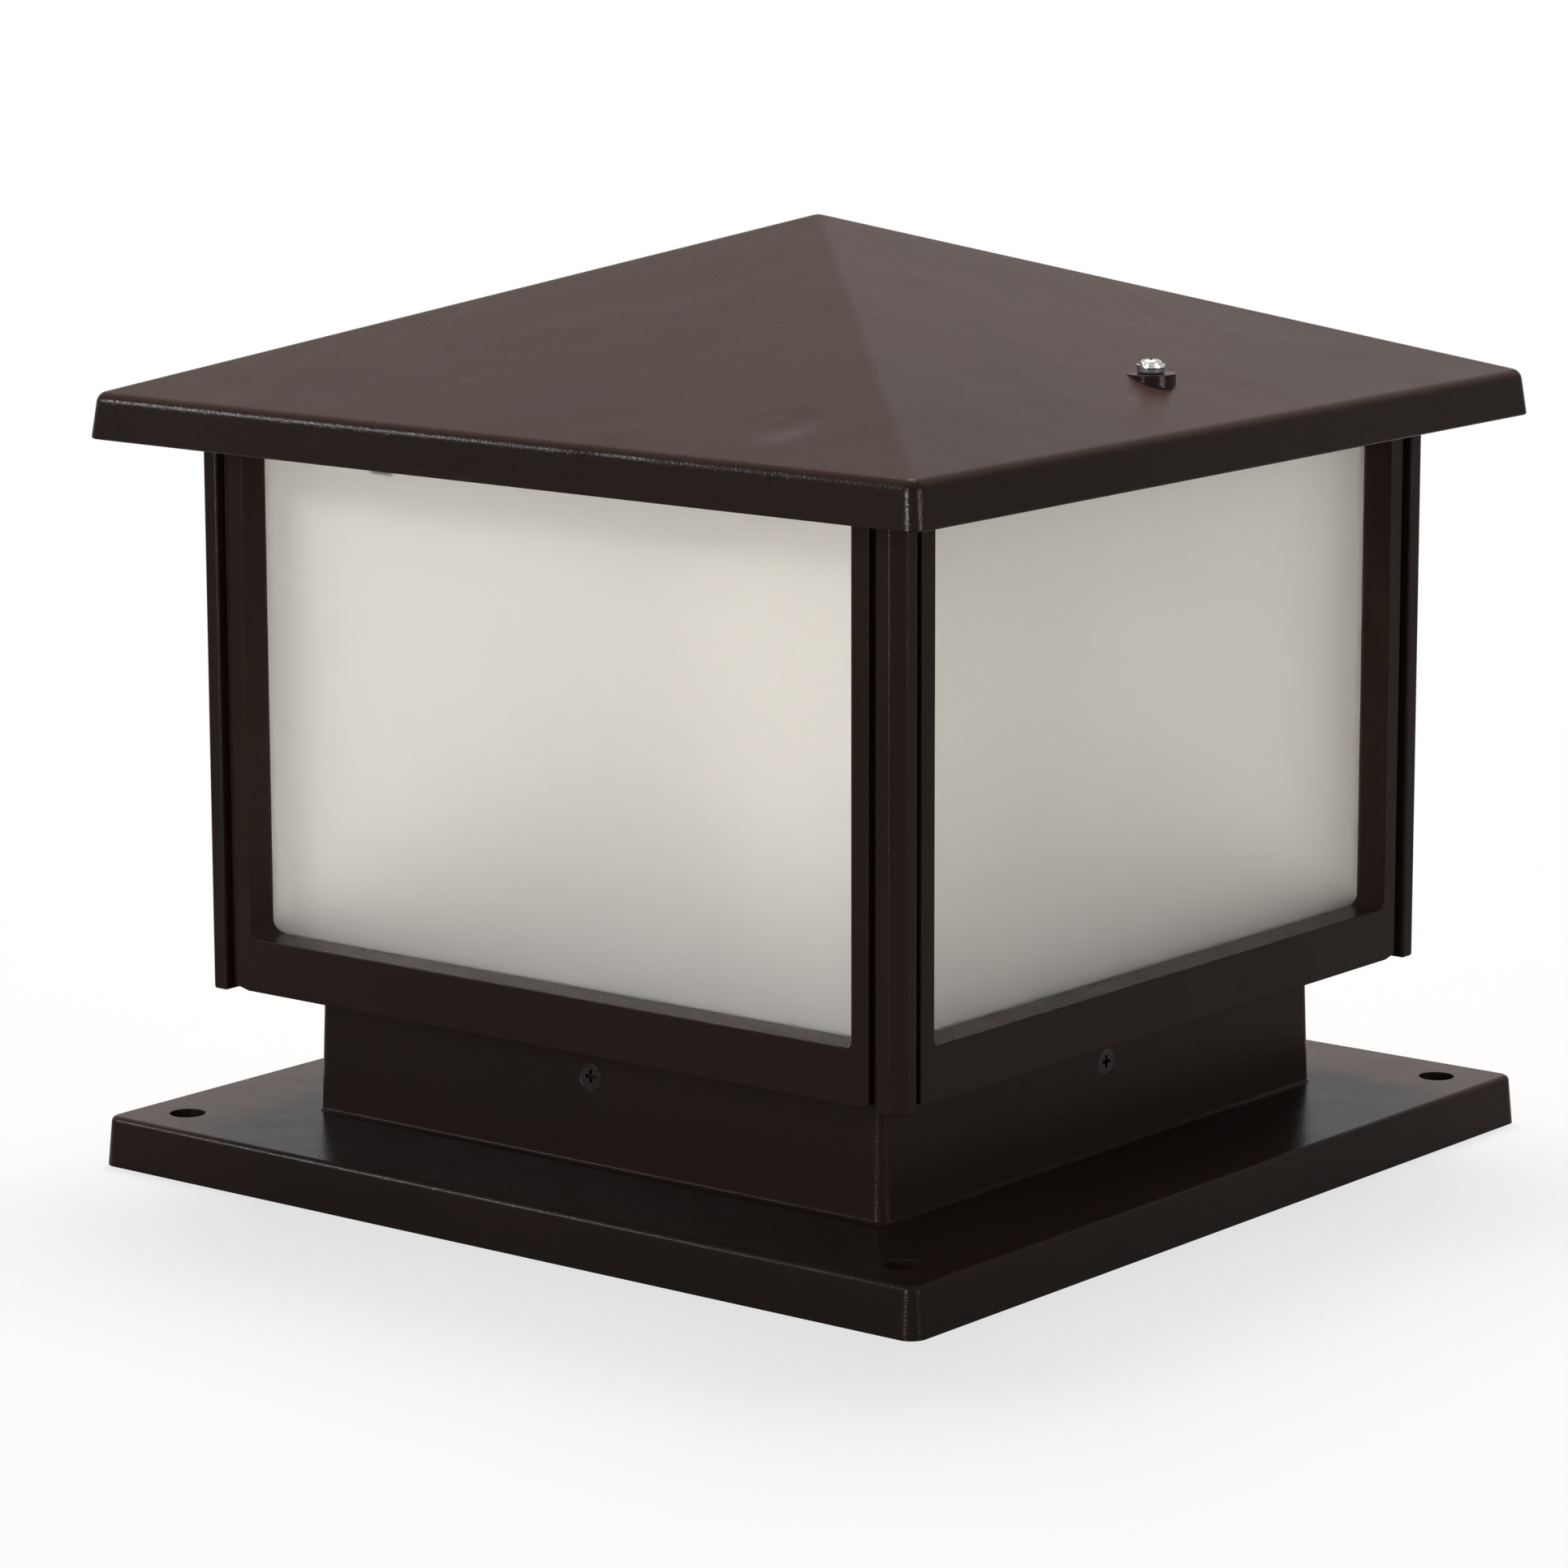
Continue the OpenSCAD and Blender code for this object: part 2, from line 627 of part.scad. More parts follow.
module clip_screw_place() {
    translate([-clip_offset, -frame_back + CLIP_T, clip_screw_z]) rotate([-90, 0, 0]) children();
}

module glass_clip(reach) {
    low = head_z - reach;
    color(STEEL) difference() {
        translate([-clip_offset - clip_w / 2, -frame_back, low]) cube([clip_w, CLIP_T, clip_top_z - low]);
        clip_screw_place() rod(M3 + THREAD_CLEAR, -CLIP_T - CUT, CUT);
    }
}

module glass_clips() {
    glass_clip(clip_reach + front_clip_extra);
    for (a = [90, 180, 270]) rotate([0, 0, a]) glass_clip(clip_reach);
}

module clip_screws() {
    color(STEEL) each_side() clip_screw_place() pan_screw(M3, CLIP_SCREW_LENGTH, M3_HEAD_R, M3_HEAD_H);
}

// ---------- roof ----------

module roof_gasket() {
    color(BLACK) difference() {
        square_prism(rib_out, frame_top_z, gasket_top_z);
        square_prism(rib_in, frame_top_z - CUT, gasket_top_z + CUT);
        for (x = [-1, 1]) translate([x * roof_screw_x, 0, 0])
            rod(M4 + CLEAR, frame_top_z - CUT, gasket_top_z + CUT);
    }
}

// The eave moved inwards by d from both of its faces, as [distance from the middle, z]
function eave_point(d) =
    let (n1 = [cos(skirt_lean), sin(skirt_lean)], n2 = [sin(slope), cos(slope)])
    [eave_half, eave_z] - d * (n1 + n2) / (1 + n1 * n2);

// A roof-shaped block: sections of its foot and its eave with rounded corners, and a ball at the peak
module roof_block(corner_r, foot, eave, ball_r) {
    hull() {
        for (ring = [foot, eave]) {
            corner_at = max([for (p = ring) p[0]]) - corner_r;
            turned_corners(corner_at, [for (p = ring) [max(p[0] - corner_at, 0), p[1]]]);
        }
        translate([0, 0, peak_z - peak_r / cos(slope)]) sphere(r = ball_r, $fn = HULL_ROUND);
    }
}

module roof_outer() {
    edge = min(eave_r, roof_corner_r - 0.2);
    bend = eave_point(edge);
    roof_block(roof_corner_r,
        [[0, skirt_z], [roof_half - SKIRT_BEVEL, skirt_z], [roof_half, skirt_z + SKIRT_BEVEL],
            [0, skirt_z + SKIRT_BEVEL]],
        concat([[0, bend[1]]], arc(bend, edge, skirt_lean, 90 - slope, 6),
            [[0, bend[1] + edge * cos(slope)]]),
        peak_r);
}

// Space under the roof: the outside moved inwards by the wall
module roof_hollow() {
    bend = eave_point(roof_wall);
    function inside(z) = [bend[0] + (bend[1] - z) * tan(skirt_lean), z];
    roof_block(max(roof_corner_r - roof_wall, 0.5),
        [[0, skirt_z - CUT], inside(skirt_z - CUT), inside(skirt_z), [0, skirt_z]],
        [[0, bend[1] - CUT], inside(bend[1] - CUT), bend, [0, bend[1]]],
        peak_r - roof_wall);
}

// Height of the middle of the roof's wall at a distance from its centre
function mid_wall_z(x) = eave_z + (eave_half - x) * tan(slope) - roof_wall / 2 / cos(slope);

// Rib that presses on the gasket: four mitred bars whose tops end inside the wall
module seat_rib() {
    each_side() intersection() {
        translate([-rib_out, 0, 0]) rotate([90, 0, 90]) linear_extrude(2 * rib_out) polygon([
            [-rib_out, gasket_top_z], [-rib_in, gasket_top_z],
            [-rib_in, mid_wall_z(rib_in)], [-rib_out, mid_wall_z(rib_out)]]);
        translate([0, 0, gasket_top_z - CUT]) linear_extrude(peak_z - gasket_top_z)
            polygon([[0, 0], [-rib_out, -rib_out], [rib_out, -rib_out]]);
    }
}

module roof_cap() {
    color(BRONZE) difference() {
        union() {
            difference() {
                roof_outer();
                roof_hollow();
            }
            seat_rib();
            for (x = [-1, 1]) translate([x * roof_screw_x, 0, 0])
                rod(roof_boss_d / 2, gasket_top_z, boss_top_z);
        }
        for (x = [-1, 1]) translate([x * roof_screw_x, 0, 0])
            rod(M4 + CLEAR, gasket_top_z - CUT, boss_top_z + CUT);
    }
}

ROOF_WASHER_R = 3.9;
ROOF_WASHER_T = 1.8;
ROOF_WASHER_ROUND = 0.7;
ROOF_SCREW_HEAD_R = 3.2;
ROOF_SCREW_HEAD_H = 2.3;
ROOF_SCREW_COLLAR_R = 4.1;
ROOF_SCREW_COLLAR_T = 0.6;
ROOF_SCREW_TURN = 38; // angle at which the recess of each roof screw came to rest
roof_screw_top_z = boss_top_z + ROOF_WASHER_T;
roof_screw_low_z = glass_high_z + CLEAR + 2 * SCREW_SKIN;
roof_screw_length = roof_screw_top_z - roof_screw_low_z;

module roof_screw(x) {
    color(STEEL) translate([x, 0, roof_screw_top_z]) rotate([0, 0, ROOF_SCREW_TURN])
        pan_screw(M4, roof_screw_length, ROOF_SCREW_HEAD_R, ROOF_SCREW_HEAD_H,
            ROOF_SCREW_COLLAR_R, ROOF_SCREW_COLLAR_T);
}

module roof_washer(x) {
    bore = M4 + THREAD_CLEAR;
    edge = ROOF_WASHER_R - ROOF_WASHER_ROUND;
    color(BLACK) translate([x, 0, boss_top_z]) rotate_extrude($fn = ROUND) polygon(concat([[bore, 0]],
        arc([edge, ROOF_WASHER_ROUND], ROOF_WASHER_ROUND, -90, 0, 5),
        arc([edge, ROOF_WASHER_T - ROOF_WASHER_ROUND], ROOF_WASHER_ROUND, 0, 90, 5),
        [[bore, ROOF_WASHER_T]]));
}

module roof_screw_right() { roof_screw(roof_screw_x); }
module roof_screw_left() { roof_screw(-roof_screw_x); }
module roof_washer_right() { roof_washer(roof_screw_x); }
module roof_washer_left() { roof_washer(-roof_screw_x); }

// ---------- lamp holder ----------

HOLDER_SCREW_X = 15;
HOLDER_SCREW_LENGTH = 8;
HOLDER_COLLAR_H = 14;
HOLDER_STEP = 1.5;
HOLDER_MOUTH_BEVEL = [1.5, 4];
SHELL_DROP = 3;
CONTACT_R = 4;

module lamp_bracket() {
    color(STEEL) difference() {
        translate([0, bracket_w / 2, tray_top_z]) rotate([90, 0, 0]) linear_extrude(bracket_w) polygon([
            [-BRACKET_LEG_X - BRACKET_FOOT, 0], [-BRACKET_LEG_X + bracket_t, 0],
            [-BRACKET_LEG_X + bracket_t, bracket_h - bracket_t],
            [BRACKET_LEG_X - bracket_t, bracket_h - bracket_t],
            [BRACKET_LEG_X - bracket_t, 0], [BRACKET_LEG_X + BRACKET_FOOT, 0],
            [BRACKET_LEG_X + BRACKET_FOOT, bracket_t], [BRACKET_LEG_X, bracket_t],
            [BRACKET_LEG_X, bracket_h], [-BRACKET_LEG_X, bracket_h],
            [-BRACKET_LEG_X, bracket_t], [-BRACKET_LEG_X - BRACKET_FOOT, bracket_t]]);
        for (x = [-1, 1]) translate([x * bracket_screw_x, 0, tray_top_z])
            rod(M4 + THREAD_CLEAR, -CUT, bracket_t + CUT);
        for (x = [-1, 1]) translate([x * HOLDER_SCREW_X, 0, bracket_top_z])
            rod(M3 + THREAD_CLEAR, -bracket_t - CUT, CUT);
    }
}

module bracket_screws() {
    color(STEEL) for (x = [-1, 1]) translate([x * bracket_screw_x, 0, tray_top_z + bracket_t])
        pan_screw(M4, bracket_t + tray_t, M4_HEAD_R, M4_HEAD_H);
}

// Screws up through the bracket into the foot of the holder
module holder_screws() {
    color(STEEL) for (x = [-1, 1]) translate([x * HOLDER_SCREW_X, 0, bracket_top_z - bracket_t])
        rotate([180, 0, 0]) pan_screw(M3, HOLDER_SCREW_LENGTH, M3_HEAD_R, M3_HEAD_H);
}

module lamp_holder_body() {
    r = holder_d / 2;
    waist = r - HOLDER_STEP;
    collar_z = bracket_top_z + HOLDER_COLLAR_H;
    bore = shell_r + SHELL_T + THREAD_CLEAR;
    color(CERAMIC) difference() {
        rotate_extrude($fn = ROUND) polygon([
            [0, bracket_top_z], [r, bracket_top_z], [r, collar_z], [waist, collar_z + HOLDER_STEP],
            [waist, holder_top_z - HOLDER_MOUTH_BEVEL[1]], [waist - HOLDER_MOUTH_BEVEL[0], holder_top_z],
            [bore, holder_top_z], [bore, socket_floor_z], [0, socket_floor_z]]);
        for (x = [-1, 1]) translate([x * HOLDER_SCREW_X, 0, bracket_top_z])
            rod(M3 + THREAD_CLEAR, -CUT, HOLDER_SCREW_LENGTH - bracket_t + SCREW_SKIN);
        for (x = [-1, 1]) translate([x * LEAD_ENTRY_X, lead_entry_y, lead_entry_z])
            rotate([-90, 0, 0]) rod(LEAD_R + CLEAR, -LEAD_ENTRY_DEPTH, 2 * r);
    }
}

module lamp_holder_shell() {
    color(BRASS) difference() {
        rod(shell_r + SHELL_T, socket_floor_z, holder_top_z - SHELL_DROP);
        rod(shell_r, socket_floor_z - CUT, holder_top_z);
    }
}

module lamp_holder_contact() {
    color(BRASS) rod(CONTACT_R, socket_floor_z, bulb_foot_z);
}

// ---------- lamp ----------

insulator_z = bulb_foot_z + BULB_CONTACT_H;
cap_low_z = insulator_z + INSULATOR_H;
cap_top_z = cap_low_z + CAP_H;
BULB_CONTACT_R = 4.5;
INSULATOR_FOOT_R = 5.5;
INSULATOR_INSET = 2.5;
BULB_NECK_INSET = 0.4;
BULB_NECK_H = 8;

module bulb_contact() {
    color(STEEL) rod(BULB_CONTACT_R, bulb_foot_z, insulator_z);
}

module bulb_insulator() {
    color(BLACK) translate([0, 0, insulator_z])
        cylinder(r1 = INSULATOR_FOOT_R, r2 = cap_d / 2 - INSULATOR_INSET, h = INSULATOR_H, $fn = ROUND);
}

// Screw cap: a tube with the thread's ridges as plain rings
module bulb_cap() {
    r = cap_d / 2;
    thread_depth = 0.9;
    root = r - thread_depth;
    bevel = 1.2;
    pitch = 3.6;
    turns = 4;
    ring_base = cap_low_z + 2.5;
    color(STEEL) rotate_extrude($fn = ROUND) polygon(concat(
        [[0, cap_low_z], [root - bevel, cap_low_z], [root, cap_low_z + bevel]],
        [for (i = [0:turns - 1]) each [[root, ring_base + i * pitch], [r, ring_base + (i + 0.35) * pitch],
            [r, ring_base + (i + 0.65) * pitch], [root, ring_base + (i + 1) * pitch]]],
        [[root, cap_top_z], [0, cap_top_z]]));
}

// Pear-shaped bulb: a neck that widens into a round end
module bulb_glass() {
    r = bulb_d / 2;
    neck_r = cap_d / 2 - BULB_NECK_INSET;
    neck_z = cap_top_z + BULB_NECK_H;
    ball_z = bulb_foot_z + bulb_h - r;
    // the cone from the neck meets the ball as a tangent
    start = acos(r / norm([neck_r, ball_z - neck_z])) - atan2(ball_z - neck_z, neck_r);
    color(FROSTED) rotate_extrude($fn = ROUND) polygon(concat(
        [[0, cap_top_z], [neck_r, cap_top_z], [neck_r, neck_z]], arc([0, ball_z], r, start, 90, 16)));
}

// ---------- wiring ----------

module terminal_block() {
    color(CERAMIC) difference() {
        translate([-BLOCK[0] / 2, BLOCK_Y - BLOCK[1] / 2, tray_top_z]) cube(BLOCK);
        for (i = [-1:1]) translate([i * POLE_PITCH, BLOCK_Y, lead_exit_z]) {
            rotate([90, 0, 0]) rod(CLAMP_R + THREAD_CLEAR, -BLOCK[1], BLOCK[1]);
            rod(CLAMP_SCREW_R + THREAD_CLEAR, 0, BLOCK[2]);
        }
        translate([block_screw_x, BLOCK_Y, tray_top_z]) rod(M3 + THREAD_CLEAR, -CUT, BLOCK[2] + CUT);
    }
}

// Brass tubes that clamp the wires
module terminal_clamps() {
    color(BRASS) for (i = [-1:1]) translate([i * POLE_PITCH, BLOCK_Y, lead_exit_z]) difference() {
        rotate([90, 0, 0]) rod(CLAMP_R, -CLAMP_LENGTH / 2, CLAMP_LENGTH / 2);
        rotate([90, 0, 0]) rod(LEAD_R + CLAMP_CLEAR, -CLAMP_LENGTH, CLAMP_LENGTH);
        rod(CLAMP_SCREW_R + THREAD_CLEAR, 0, CLAMP_R + CUT);
    }
}

module terminal_clamp_screws() {
    color(STEEL) for (i = [-1:1]) translate([i * POLE_PITCH, BLOCK_Y, lead_exit_z + LEAD_R + CLEAR])
        difference() {
            rod(CLAMP_SCREW_R, 0, CLAMP_SCREW_H);
            translate([-CLAMP_R, -SLOT_W / 2, CLAMP_SCREW_H - SLOT_DEPTH]) cube([2 * CLAMP_R, SLOT_W, CUT]);
        }
}

module terminal_mounting_screw() {
    color(STEEL) translate([block_screw_x, BLOCK_Y, tray_top_z + BLOCK[2]])
        pan_screw(M3, BLOCK[2] + tray_t, M3_HEAD_R, M3_HEAD_H);
}

module earth_screw() {
    color(STEEL) translate([EARTH_X, EARTH_Y, tray_top_z + RING_T])
        pan_screw(M4, EARTH_SCREW_LENGTH, M4_HEAD_R, M4_HEAD_H);
}

// Ring with a barrel that holds the end of the earth lead
module earth_ring_terminal() {
    color(BRASS) translate([EARTH_X, EARTH_Y, tray_top_z]) difference() {
        union() {
            rod(RING_R, 0, RING_T);
            translate([0, BARREL_Y, BARREL_R]) rotate([-90, 0, 0]) rod(BARREL_R, 0, BARREL_LENGTH);
        }
        translate([0, BARREL_Y, BARREL_R]) rotate([-90, 0, 0])
            rod(LEAD_R + CLEAR, RING_T, BARREL_LENGTH + CUT);
        rod(M4 + THREAD_CLEAR, -CUT, RING_T + CUT);
    }
}

// A lead from the block's face to a hole in the side of the holder
module holder_lead(pole, side) {
    start = [pole * POLE_PITCH, lead_exit_y + LEAD_IN_BLOCK, lead_exit_z];
    finish = [side * LEAD_ENTRY_X, lead_entry_y - LEAD_IN_HOLDER, lead_entry_z];
    lead([start, start - [0, 18, 0], finish + [0, 24, 0], finish], LEAD_R);
}

module live_lead() { color("sienna") holder_lead(-1, -1); }
module neutral_lead() { color("royalblue") holder_lead(0, 1); }
module earth_lead() {
    start = [POLE_PITCH, lead_exit_y + LEAD_IN_BLOCK, lead_exit_z];
    finish = [EARTH_X, EARTH_Y + BARREL_Y + LEAD_IN_BARREL, tray_top_z + BARREL_R];
    color("green") lead([start, start - [0, 9, 0], finish + [0, 14, 0], finish], LEAD_R);
}

base_casting();
neck_screws();
floor_tray();
tray_screws();
cable_grommet();
side_frame_front();
side_frame_right();
side_frame_back();
side_frame_left();
corner_post_front_right();
corner_post_back_right();
corner_post_back_left();
corner_post_front_left();
post_screws();
glass_pane_front();
glass_pane_right();
glass_pane_back();
glass_pane_left();
glass_seals();
glass_clips();
clip_screws();
roof_gasket();
roof_cap();
roof_screw_right();
roof_screw_left();
roof_washer_right();
roof_washer_left();
lamp_bracket();
bracket_screws();
lamp_holder_body();
lamp_holder_shell();
lamp_holder_contact();
holder_screws();
bulb_glass();
bulb_cap();
bulb_insulator();
bulb_contact();
terminal_block();
terminal_clamps();
terminal_clamp_screws();
terminal_mounting_screw();
earth_screw();
earth_ring_terminal();
live_lead();
neutral_lead();
earth_lead();
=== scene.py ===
import json
import math

import bmesh
import bpy
from mathutils import Matrix, Vector

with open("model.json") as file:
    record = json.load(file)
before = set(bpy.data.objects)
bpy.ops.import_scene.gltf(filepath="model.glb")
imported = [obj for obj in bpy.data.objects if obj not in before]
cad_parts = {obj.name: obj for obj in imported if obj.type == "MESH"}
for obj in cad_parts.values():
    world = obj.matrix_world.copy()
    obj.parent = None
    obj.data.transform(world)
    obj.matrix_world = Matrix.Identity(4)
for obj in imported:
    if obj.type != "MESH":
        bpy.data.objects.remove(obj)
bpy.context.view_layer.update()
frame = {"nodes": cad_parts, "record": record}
nodes = frame["nodes"]

# ---------- the photograph's camera ----------

IMAGE_PX = 1932            # side of the square photograph
FOCAL_PX = 7240            # focal length, in its pixels
CAMERA_AZIMUTH = 38.6      # degrees to the right of the front face
CAMERA_ELEVATION = 11.03   # degrees above the horizon
CAMERA_DISTANCE = 1.727    # from the point it looks at
CAMERA_ROLL = -0.13        # degrees
CAMERA_TARGET = Vector((-0.00803, -0.00638, 0.10854))
SENSOR = 36.0              # millimetres


def direction(azimuth, elevation):
    """Unit vector from the object to a place around it; azimuth 0 is in front, 90 to the right."""
    around, above = math.radians(azimuth), math.radians(elevation)
    flat = math.cos(above)
    return Vector((math.sin(around) * flat, -math.cos(around) * flat, math.sin(above)))


def make_camera():
    back = direction(CAMERA_AZIMUTH, CAMERA_ELEVATION)
    right = Vector((0, 0, 1)).cross(back).normalized()
    up = back.cross(right)
    roll = math.radians(CAMERA_ROLL)
    turned_right = math.cos(roll) * right + math.sin(roll) * up
    turned_up = math.cos(roll) * up - math.sin(roll) * right
    data = bpy.data.cameras.new("camera")
    data.sensor_width = SENSOR
    data.lens = FOCAL_PX * SENSOR / IMAGE_PX
    data.clip_start, data.clip_end = 0.05, 50
    camera = bpy.data.objects.new("camera", data)
    turn = Matrix((turned_right, turned_up, back)).transposed()
    camera.matrix_world = Matrix.Translation(CAMERA_TARGET + CAMERA_DISTANCE * back) @ turn.to_4x4()
    bpy.context.scene.collection.objects.link(camera)
    bpy.context.scene.camera = camera


# ---------- material helpers ----------

NOISE_RANGE = (0.3, 0.7)   # where most of a noise's values lie


class Shader:
    """A material's node tree around one Principled shader, with patterns in object space, in metres."""

    def __init__(self, name, **constants):
        self.material = bpy.data.materials.new(name)
        self.material.use_nodes = True
        self.tree = self.material.node_tree
        self.principled = self.tree.nodes["Principled BSDF"]
        self.place = self.tree.nodes.new("ShaderNodeTexCoord").outputs["Object"]
        for socket, value in constants.items():
            self.principled.inputs[socket.replace("_", " ")].default_value = value

    def node(self, kind, **settings):
        made = self.tree.nodes.new("ShaderNode" + kind)
        for key, value in settings.items():
            setattr(made, key, value)
        return made

    def link(self, source, target):
        self.tree.links.new(source, target)

    def stretched(self, x=1.0, y=1.0, z=1.0):
        """Object space with each axis scaled, for turned or streaked patterns."""
        mapping = self.node("Mapping")
        mapping.inputs["Scale"].default_value = (x, y, z)
        self.link(self.place, mapping.inputs["Vector"])
        return mapping.outputs["Vector"]

    def noise(self, size, detail=2.0, place=None):
        """Noise whose grains are about size metres wide; gives its 0 to 1 output."""
        made = self.node("TexNoise")
        made.inputs["Scale"].default_value = 1.0 / size
        made.inputs["Detail"].default_value = detail
        self.link(place or self.place, made.inputs["Vector"])
        return made.outputs["Fac"]

    def dent(self, centre, radius, depth):
        """A smooth hollow in the surface around one point; gives its height in metres."""
        away = self.node("VectorMath", operation="DISTANCE")
        away.inputs[1].default_value = centre
        self.link(self.place, away.inputs[0])
        made = self.node("MapRange", interpolation_type="SMOOTHERSTEP")
        made.inputs["From Max"].default_value = radius
        made.inputs["To Min"].default_value, made.inputs["To Max"].default_value = -depth, 0.0
        self.link(away.outputs["Value"], made.inputs["Value"])
        return made.outputs["Result"]

    def spread(self, value, low, high):
        """The range in which most of a noise's values lie turned into low to high."""
        made = self.node("MapRange")
        made.inputs["From Min"].default_value, made.inputs["From Max"].default_value = NOISE_RANGE
        made.inputs["To Min"].default_value, made.inputs["To Max"].default_value = low, high
        self.link(value, made.inputs["Value"])
        return made.outputs["Result"]

    def sum(self, first, *others):
        """All the values added up."""
        for other in others:
            made = self.node("Math", operation="ADD")
            self.link(first, made.inputs[0])
            self.link(other, made.inputs[1])
            first = made.outputs["Value"]
        return first

    def between(self, fac, first, second):
        """A colour from first to second."""
        made = self.node("Mix", data_type="RGBA")
        made.inputs["A"].default_value = (*first, 1)
        made.inputs["B"].default_value = (*second, 1)
        self.link(fac, made.inputs["Factor"])
        return made.outputs["Result"]

    def set(self, socket, source):
        self.link(source, self.principled.inputs[socket])

    def bump(self, height, edge_radius=0.0):
        """Bump from a height in metres, with the edges shaded as round where a radius is given."""
        made = self.node("Bump")
        made.inputs["Distance"].default_value = 1.0
        self.link(height, made.inputs["Height"])
        if edge_radius:
            rounded = self.node("Bevel", samples=4)
            rounded.inputs["Radius"].default_value = edge_radius
            self.link(rounded.outputs["Normal"], made.inputs["Normal"])
        self.set("Normal", made.outputs["Normal"])


# ---------- materials ----------

COAT_IOR = 1.11            # low, because the photograph's surroundings were dark and these are white
PATCH_SIZE = 0.09          # lighter and darker patches
SAND_SIZE, SAND_DEPTH = 0.0006, 0.00003
WAVE_SIZE, WAVE_DEPTH = 0.025, 0.00012
EDGE_RADIUS = 0.0006       # how round the coat makes the edges

# dents: centre, radius and depth
DENTS = (
    ((0.0865, -0.1255, 0.235), 0.015, 0.0006),
    ((-0.006, -0.149, 0.2165), 0.006, 0.0004),
    ((0.045, -0.149, 0.219), 0.02, 0.0004),
)


def powder_coat(name, dark, light):
    """Fine-textured powder coat: sand-like grain over a slightly uneven casting with a few dents."""
    s = Shader(name, IOR=COAT_IOR)
    patches = s.noise(PATCH_SIZE, 3.0)
    s.set("Base Color", s.between(s.spread(patches, 0.0, 1.0), dark, light))
    sand = s.noise(SAND_SIZE, 1.0)
    s.set("Roughness", s.spread(sand, 0.18, 0.26))
    grain = s.spread(sand, 0.0, SAND_DEPTH)
    waves = s.spread(s.noise(WAVE_SIZE, 1.0), 0.0, WAVE_DEPTH)
    dents = [s.dent(*dent) for dent in DENTS]
    s.bump(s.sum(grain, waves, *dents), edge_radius=EDGE_RADIUS)
    return s.material


def frosted_glass(name):
    """White acid-etched glass: soft, pale, and only just seen through."""
    s = Shader(name, Transmission_Weight=0.92, IOR=1.45, Specular_IOR_Level=0.3)
    clouds = s.spread(s.noise(0.12, 2.0), 0.0, 1.0)
    s.set("Base Color", s.between(clouds, (0.835, 0.812, 0.765), (0.855, 0.832, 0.79)))
    etch = s.noise(0.0006, 2.0)
    s.set("Roughness", s.spread(etch, 0.5, 0.6))
    s.bump(s.spread(etch, 0.0, 0.00001))
    return s.material


def bare_metal(name, dark, light, rough, grain=0.004):
    """Metal with faint turning or rolling marks around its upright axis."""
    s = Shader(name, Metallic=1.0)
    marks = s.noise(grain, 3.0, place=s.stretched(z=12))
    s.set("Base Color", s.between(s.spread(marks, 0.0, 1.0), dark, light))
    s.set("Roughness", s.spread(marks, rough * 0.8, rough * 1.2))
    s.bump(s.spread(marks, 0.0, 0.00001))
    return s.material


def moulded(name, dark, light, rough, grain=0.0008, depth=0.00001):
    """Plastic, rubber or ceramic with a fine surface and slight cloudiness."""
    s = Shader(name, IOR=1.5)
    clouds = s.noise(0.02, 2.0)
    s.set("Base Color", s.between(s.spread(clouds, 0.0, 1.0), dark, light))
    fine = s.noise(grain, 2.0)
    s.set("Roughness", s.spread(fine, rough * 0.85, rough * 1.15))
    s.bump(s.spread(fine, 0.0, depth))
    return s.material


def opal_glass(name):
    """Opal white lamp glass."""
    s = Shader(name, IOR=1.5, Subsurface_Weight=0.2, Subsurface_Scale=0.002)
    clouds = s.noise(0.03, 2.0)
    s.set("Base Color", s.between(clouds, (0.86, 0.85, 0.82), (0.92, 0.91, 0.89)))
    s.set("Roughness", s.spread(clouds, 0.18, 0.24))
    return s.material


COAT = powder_coat("bronze_powder_coat", (0.045, 0.026, 0.021), (0.054, 0.031, 0.025))
GLASS = frosted_glass("frosted_glass")
BLACK_SCREW = bare_metal("black_oxide_steel", (0.01, 0.009, 0.009), (0.02, 0.018, 0.017), 0.3)
STEEL = bare_metal("stainless_steel", (0.4, 0.39, 0.38), (0.5, 0.49, 0.47), 0.2)
ZINC = bare_metal("zinc_plated_steel", (0.5, 0.51, 0.53), (0.64, 0.65, 0.67), 0.38, grain=0.012)
RUBBER = moulded("black_rubber", (0.012, 0.012, 0.013), (0.02, 0.02, 0.021), 0.62, depth=0.00003)
CERAMIC = moulded("white_glazed_ceramic", (0.82, 0.8, 0.75), (0.88, 0.86, 0.82), 0.14, grain=0.004)
BRASS = bare_metal("brass", (0.7, 0.5, 0.2), (0.82, 0.63, 0.3), 0.28)
CAP_METAL = bare_metal("bright_aluminium", (0.7, 0.71, 0.72), (0.82, 0.82, 0.83), 0.25)
OPAL = opal_glass("opal_glass")
INSULATOR = moulded("black_insulator", (0.01, 0.01, 0.012), (0.02, 0.02, 0.022), 0.2)
NYLON = moulded("white_nylon", (0.78, 0.78, 0.75), (0.85, 0.85, 0.82), 0.42)
BROWN = moulded("brown_insulation", (0.12, 0.045, 0.02), (0.16, 0.06, 0.028), 0.35)
BLUE = moulded("blue_insulation", (0.02, 0.07, 0.32), (0.03, 0.09, 0.4), 0.35)
GREEN = moulded("green_insulation", (0.03, 0.22, 0.03), (0.05, 0.28, 0.05), 0.35)

